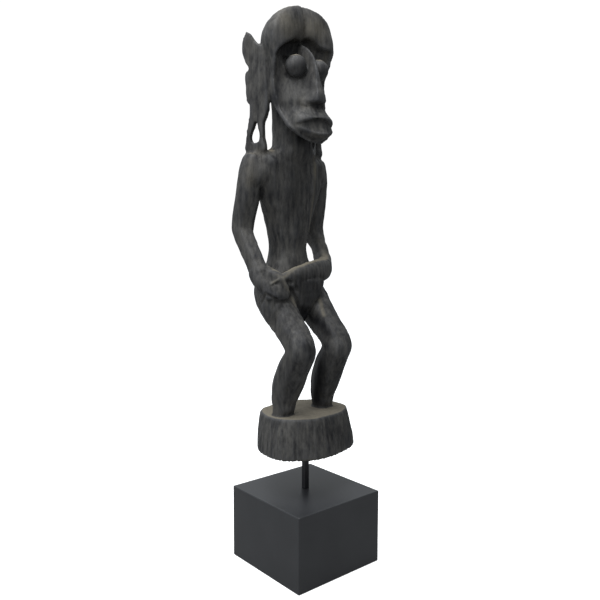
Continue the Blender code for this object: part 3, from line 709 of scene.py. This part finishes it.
def socket_in(made):
    """The square hole that the bar stands in."""
    side = BAR_SIDE + 2 * FIT_GAP
    mesh = bmesh.new()
    bmesh.ops.create_cube(mesh, size=1.0)
    low, high = FIGURE_BASE - SOCKET_CUT_BELOW, FIGURE_BASE + BAR_IN_FIGURE + FIT_GAP
    for vert in mesh.verts:
        vert.co = Vector((vert.co.x * side, vert.co.y * side, low + (vert.co.z + 0.5) * (high - low)))
    data = bpy.data.meshes.new("socket_cutter")
    mesh.to_mesh(data)
    mesh.free()
    cutter = bpy.data.objects.new("socket_cutter", data)
    bpy.context.scene.collection.objects.link(cutter)
    step = made.modifiers.new("Socket", "BOOLEAN")
    step.operation = "DIFFERENCE"
    step.solver = "EXACT"
    step.object = cutter
    applied(made)
    bpy.data.objects.remove(cutter, do_unlink=True)


def surface_facts(made):
    """Writes what the wood's colour follows: dust, hollows (painted shade, and dust in them), worn edges,
    the pale places (tan dust mixed with painted light) and the black places (painted shade).
    """
    data = made.data
    points, normals, edges = to_drawing(read_points(data)), read_normals(data), read_edges(data)
    counts = np.maximum(np.bincount(edges.ravel(), minlength=len(points)), 1).astype(float)
    mean = points.copy()
    near = None
    for i in range(14):
        mean = neighbour_mean(mean, edges, counts)
        if i == 1:
            near = np.einsum("ij,ij->i", mean - points, normals)
    wide = np.einsum("ij,ij->i", mean - points, normals)
    for i in range(2):
        near = neighbour_mean(near, edges, counts)
        wide = neighbour_mean(wide, edges, counts)
    up = normals[:, 2]
    for i in range(3):
        up = neighbour_mean(up, edges, counts)
    hollow = np.clip(wide / 1.2, 0, 1)
    worn = np.clip(-near / 0.16, 0, 1)
    dust = np.clip(ramp(up, 0.62, 0.96) + 0.25 * hollow * ramp(up, 0.0, 0.6), 0, 1)
    pale, black = np.zeros(len(points)), np.zeros(len(points))
    # Pale: tan dust mixed with painted light along the listed paths
    for path, wide_by, strong in DUST_AND_PAINTED_LIGHT_PATHS:
        pale = np.maximum(pale, strong * near_path(points, path, wide_by))
    # Black: painted shade along the listed paths
    for path, wide_by, strong in PAINTED_SHADE_PATHS:
        black = np.maximum(black, strong * near_path(points, path, wide_by))
    pale = np.maximum(pale, 0.5 * (1 - ramp(points[:, 2], -1.5, 2.6)))
    for name, value in (("dust", dust), ("hollow", hollow), ("worn", worn), ("pale", pale),
                        ("black", black)):
        layer = data.attributes.new(name, "FLOAT", "POINT")
        layer.data.foreach_set("value", value.astype(np.float32))


class Number:
    """One value socket of a shader; sums on it add Math nodes."""

    def __init__(self, kit, socket):
        self.kit, self.socket = kit, socket

    def sum(self, operation, *others):
        return self.kit.node("Math", {"operation": operation}, dict(enumerate((self, *others))))

    def __add__(self, other):
        return self.sum("ADD", other)

    __radd__ = __add__

    def __mul__(self, other):
        return self.sum("MULTIPLY", other)

    __rmul__ = __mul__

    def __sub__(self, other):
        return self.sum("SUBTRACT", other)

    def __rsub__(self, other):
        return self.kit.node("Math", {"operation": "SUBTRACT"}, {0: other, 1: self})

    def between(self, low, high):
        """A smooth step from 0 at low to 1 at high."""
        return self.kit.node("MapRange", {"interpolation_type": "SMOOTHSTEP"},
                             {"Value": self, "From Min": low, "From Max": high})


class Finish:
    """One material under construction."""

    def __init__(self, name, preview):
        self.material = bpy.data.materials.new(name)
        self.material.use_nodes = True
        self.material.diffuse_color = (*preview, 1.0)
        self.tree = self.material.node_tree
        self.shader = self.tree.nodes["Principled BSDF"]

    def put(self, socket, value):
        """Links a socket or sets a constant."""
        if isinstance(value, Number):
            self.tree.links.new(value.socket, socket)
        elif isinstance(value, bpy.types.NodeSocket):
            self.tree.links.new(value, socket)
        else:
            socket.default_value = value

    def node(self, kind, settings=None, inputs=None, out=0):
        """Any node: its type, settings, inputs, and the output that is wanted."""
        made = self.tree.nodes.new("ShaderNode" + kind)
        for key, value in (settings or {}).items():
            setattr(made, key, value)
        for key, value in (inputs or {}).items():
            self.put(made.inputs[key], value)
        socket = made.outputs[out]
        return Number(self, socket) if socket.type == "VALUE" else socket

    def noise(self, scale, detail, rough):
        """Noise on the object's own coordinates; scale is how fine it is in x, y and z."""
        place = self.node("Mapping", {}, {"Vector": self.node("TexCoord", out="Object"), "Scale": scale})
        return self.node("TexNoise", {}, {"Vector": place, "Scale": 1.0, "Detail": detail,
                                          "Roughness": rough})

    def fact(self, name):
        """A value written on the mesh by surface_facts."""
        return self.node("Attribute", {"attribute_name": name}, out="Fac")

    def blend(self, amount, a, b):
        """From colour a to colour b."""
        made = self.tree.nodes.new("ShaderNodeMix")
        made.data_type = "RGBA"
        self.put(made.inputs[0], amount)
        for socket, value in ((made.inputs[6], a), (made.inputs[7], b)):
            self.put(socket, (*value, 1.0) if isinstance(value, tuple) and len(value) == 3 else value)
        return made.outputs[2]

    def relief(self, layers):
        """Bump nodes in a chain: (height, distance, strength) each."""
        normal = None
        for height, distance, strength in layers:
            made = self.tree.nodes.new("ShaderNodeBump")
            made.inputs["Distance"].default_value = distance
            made.inputs["Strength"].default_value = strength
            self.put(made.inputs["Height"], height)
            if normal:
                self.tree.links.new(normal, made.inputs["Normal"])
            normal = made.outputs[0]
        self.tree.links.new(normal, self.shader.inputs["Normal"])


def blackened_wood():
    """Charcoal-black hardwood with fine grain, worn grey edges, tan dust on its ledges, painted shade in
    its hollows and shaded places, and tan dust mixed with painted light on lit edges and planes.
    """
    f = Finish("blackened_wood", (0.04, 0.04, 0.042))
    dust, hollow, worn = f.fact("dust"), f.fact("hollow"), f.fact("worn")
    pale, black = f.fact("pale"), f.fact("black")
    grain = f.noise((900, 900, 42), 5, 0.6)
    streak = f.noise((260, 260, 11), 3, 0.5)
    patch = f.noise((34, 34, 20), 3, 0.55)
    mottle = f.noise((230, 230, 75), 6, 0.68)
    tone = (mottle * 0.75 + streak * 0.35 + patch * 0.3).between(0.44, 0.94)
    wood = f.blend(tone, CHARCOAL, GREYED)
    # Painted shade: hollows and creases darkened where shade falls
    wood = f.blend(hollow * 0.75, wood, SHADE_IN_HOLLOWS)
    wood = f.blend(worn * 0.55, wood, ON_EDGES)
    speck = f.noise((420, 420, 300), 3, 0.6)
    settled = (dust * 0.9 + (patch - 0.5) * 0.5 * dust + (speck - 0.5) * 0.35 * dust).between(0.10, 0.95)
    wood = f.blend(settled * 0.85, wood, LEDGE_DUST)
    # Painted shade: the listed shaded places turned blue-black
    wood = f.blend(black, wood, SHADE_BLUE_BLACK)
    lines = f.noise((520, 520, 9), 4, 0.6)
    # Tan dust mixed with painted light: lit edges, lit planes and lip lines turned pale tan
    dust_and_light = (pale * 0.8 + (patch - 0.5) * 0.8 * pale + (speck - 0.5) * 0.6 * pale).between(0.08, 0.9)
    wood = f.blend(dust_and_light * 0.75, wood, TAN_DUST_AND_LIGHT)
    wood = f.blend((lines - 0.56).between(0.0, 0.22) * 0.3, wood, TAN_STREAK)
    f.put(f.shader.inputs["Base Color"], wood)
    f.put(f.shader.inputs["Roughness"], 0.46 + grain * 0.16 + dust * 0.28 + pale * 0.2 - worn * 0.06)
    f.shader.inputs["Specular IOR Level"].default_value = WOOD_SPECULAR
    f.relief([(patch, 0.0012, 0.35), (streak, 0.0007, 0.5), (grain, 0.0003, 0.6)])
    return f.material


def satin_black():
    """Sprayed satin lacquer on the block."""
    f = Finish("satin_black", (0.03, 0.03, 0.032))
    mottle = f.noise((26, 26, 26), 3, 0.5)
    fine = f.noise((2600, 2600, 2600), 2, 0.5)
    f.put(f.shader.inputs["Base Color"], f.blend(mottle.between(0.3, 0.7), LACQUER_DEEP, LACQUER_LIT))
    f.put(f.shader.inputs["Roughness"], 0.30 + mottle * 0.10)
    f.relief([(fine, 0.00006, 0.35)])
    return f.material


def black_steel():
    """Blackened square bar stock, slightly brushed along its length."""
    f = Finish("black_steel", (0.02, 0.02, 0.022))
    brushed = f.noise((1800, 1800, 40), 3, 0.5)
    f.put(f.shader.inputs["Base Color"], f.blend(brushed, STEEL_DEEP, STEEL_LIT))
    f.put(f.shader.inputs["Roughness"], 0.30 + brushed * 0.16)
    f.relief([(brushed, 0.00008, 0.4)])
    return f.material


def camera():
    """The photograph's viewpoint."""
    sy, cy, sp, cp = math.sin(YAW), math.cos(YAW), math.sin(PITCH), math.cos(PITCH)
    ahead = Vector((-sy * cp, cy * cp, -sp))
    right = Vector((cy, sy, 0))
    up = right.cross(ahead)
    sr, cr = math.sin(ROLL), math.cos(ROLL)
    across, above = right * cr + up * sr, -right * sr + up * cr
    lens = bpy.data.cameras.new("photo_view")
    lens.sensor_width = SENSOR
    lens.lens = FOCAL_PIXELS / PHOTO_PIXELS * SENSOR
    lens.clip_start = 0.01
    made = bpy.data.objects.new("photo_view", lens)
    made.matrix_world = Matrix(((across.x, above.x, -ahead.x, CAMERA_SPOT[0]),
                                (across.y, above.y, -ahead.y, CAMERA_SPOT[1]),
                                (across.z, above.z, -ahead.z, CAMERA_SPOT[2]), (0, 0, 0, 1)))
    bpy.context.scene.collection.objects.link(made)
    bpy.context.scene.camera = made


def soft_light(name, spot, size, watts):
    """A rectangular lamp aimed at the figure."""
    lamp = bpy.data.lights.new(name, "AREA")
    lamp.shape = "RECTANGLE"
    lamp.size, lamp.size_y = size
    lamp.energy = watts
    made = bpy.data.objects.new(name, lamp)
    made.location = spot
    made.rotation_euler = (Vector(LAMP_AIM) - Vector(spot)).to_track_quat("-Z", "Y").to_euler()
    bpy.context.scene.collection.objects.link(made)


def sky():
    """A white room for the camera; as a light, brightest from the upper left and dark on the right."""
    world = bpy.data.worlds.new("studio")
    world.use_nodes = True
    tree = world.node_tree
    tree.nodes.clear()
    way = tree.nodes.new("ShaderNodeTexCoord")
    part = tree.nodes.new("ShaderNodeVectorMath")
    part.operation = "DOT_PRODUCT"
    part.inputs[1].default_value = LIT_SIDE
    tree.links.new(way.outputs["Generated"], part.inputs[0])
    spread = tree.nodes.new("ShaderNodeMapRange")
    spread.interpolation_type = "SMOOTHSTEP"
    for name, value in (("From Min", -0.7), ("From Max", 0.9), ("To Min", SKY_DARK),
                        ("To Max", SKY_BRIGHT)):
        spread.inputs[name].default_value = value
    tree.links.new(part.outputs["Value"], spread.inputs["Value"])
    lit, seen = tree.nodes.new("ShaderNodeBackground"), tree.nodes.new("ShaderNodeBackground")
    lit.inputs["Color"].default_value = SKY_TINT
    tree.links.new(spread.outputs["Result"], lit.inputs["Strength"])
    seen.inputs["Color"].default_value = (1.0, 1.0, 1.0, 1.0)
    seen.inputs["Strength"].default_value = BACKDROP
    ray = tree.nodes.new("ShaderNodeLightPath")
    pick = tree.nodes.new("ShaderNodeMixShader")
    end = tree.nodes.new("ShaderNodeOutputWorld")
    tree.links.new(ray.outputs["Is Camera Ray"], pick.inputs[0])
    tree.links.new(lit.outputs[0], pick.inputs[1])
    tree.links.new(seen.outputs[0], pick.inputs[2])
    tree.links.new(pick.outputs[0], end.inputs[0])
    bpy.context.scene.world = world


def studio():
    """A pale floor and soft white light from above and from the left."""
    sky()
    size = FLOOR_HALF
    floor = mesh_object("floor", [(-size, -size, 0), (size, -size, 0), (size, size, 0), (-size, size, 0)],
                        [(0, 1, 2, 3)])
    f = Finish("white_paper", (0.9, 0.9, 0.9))
    tree = f.tree
    f.shader.inputs["Base Color"].default_value = (0.22, 0.22, 0.22, 1.0)
    f.shader.inputs["Roughness"].default_value = 0.9
    paper, glow = tree.nodes.new("ShaderNodeBsdfDiffuse"), tree.nodes.new("ShaderNodeEmission")
    paper.inputs["Color"].default_value = (0.9, 0.9, 0.9, 1.0)
    glow.inputs["Strength"].default_value = FLOOR_GLOW
    bright, pick = tree.nodes.new("ShaderNodeAddShader"), tree.nodes.new("ShaderNodeMixShader")
    ray = tree.nodes.new("ShaderNodeLightPath")
    tree.links.new(paper.outputs[0], bright.inputs[0])
    tree.links.new(glow.outputs[0], bright.inputs[1])
    tree.links.new(ray.outputs["Is Camera Ray"], pick.inputs[0])
    tree.links.new(f.shader.outputs[0], pick.inputs[1])
    tree.links.new(bright.outputs[0], pick.inputs[2])
    tree.links.new(pick.outputs[0], tree.nodes["Material Output"].inputs["Surface"])
    floor.data.materials.append(f.material)
    soft_light("overhead", (-0.35, -0.1, 1.6), (0.8, 0.8), OVERHEAD)
    soft_light("left_window", (-1.25, -0.55, 1.45), (0.6, 0.8), WINDOW)
    bpy.context.scene.view_settings.view_transform = "Standard"


camera()
studio()
carving = carved_figure()
socket_in(carving)
surface_facts(carving)
for polygon in carving.data.polygons:
    polygon.use_smooth = True
carving.data.materials.clear()
carving.data.materials.append(blackened_wood())
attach(carving, "root")
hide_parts("figure")
for node, finish in (("block", satin_black()), ("bar", black_steel())):
    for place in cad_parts[node].material_slots:
        place.material = finish
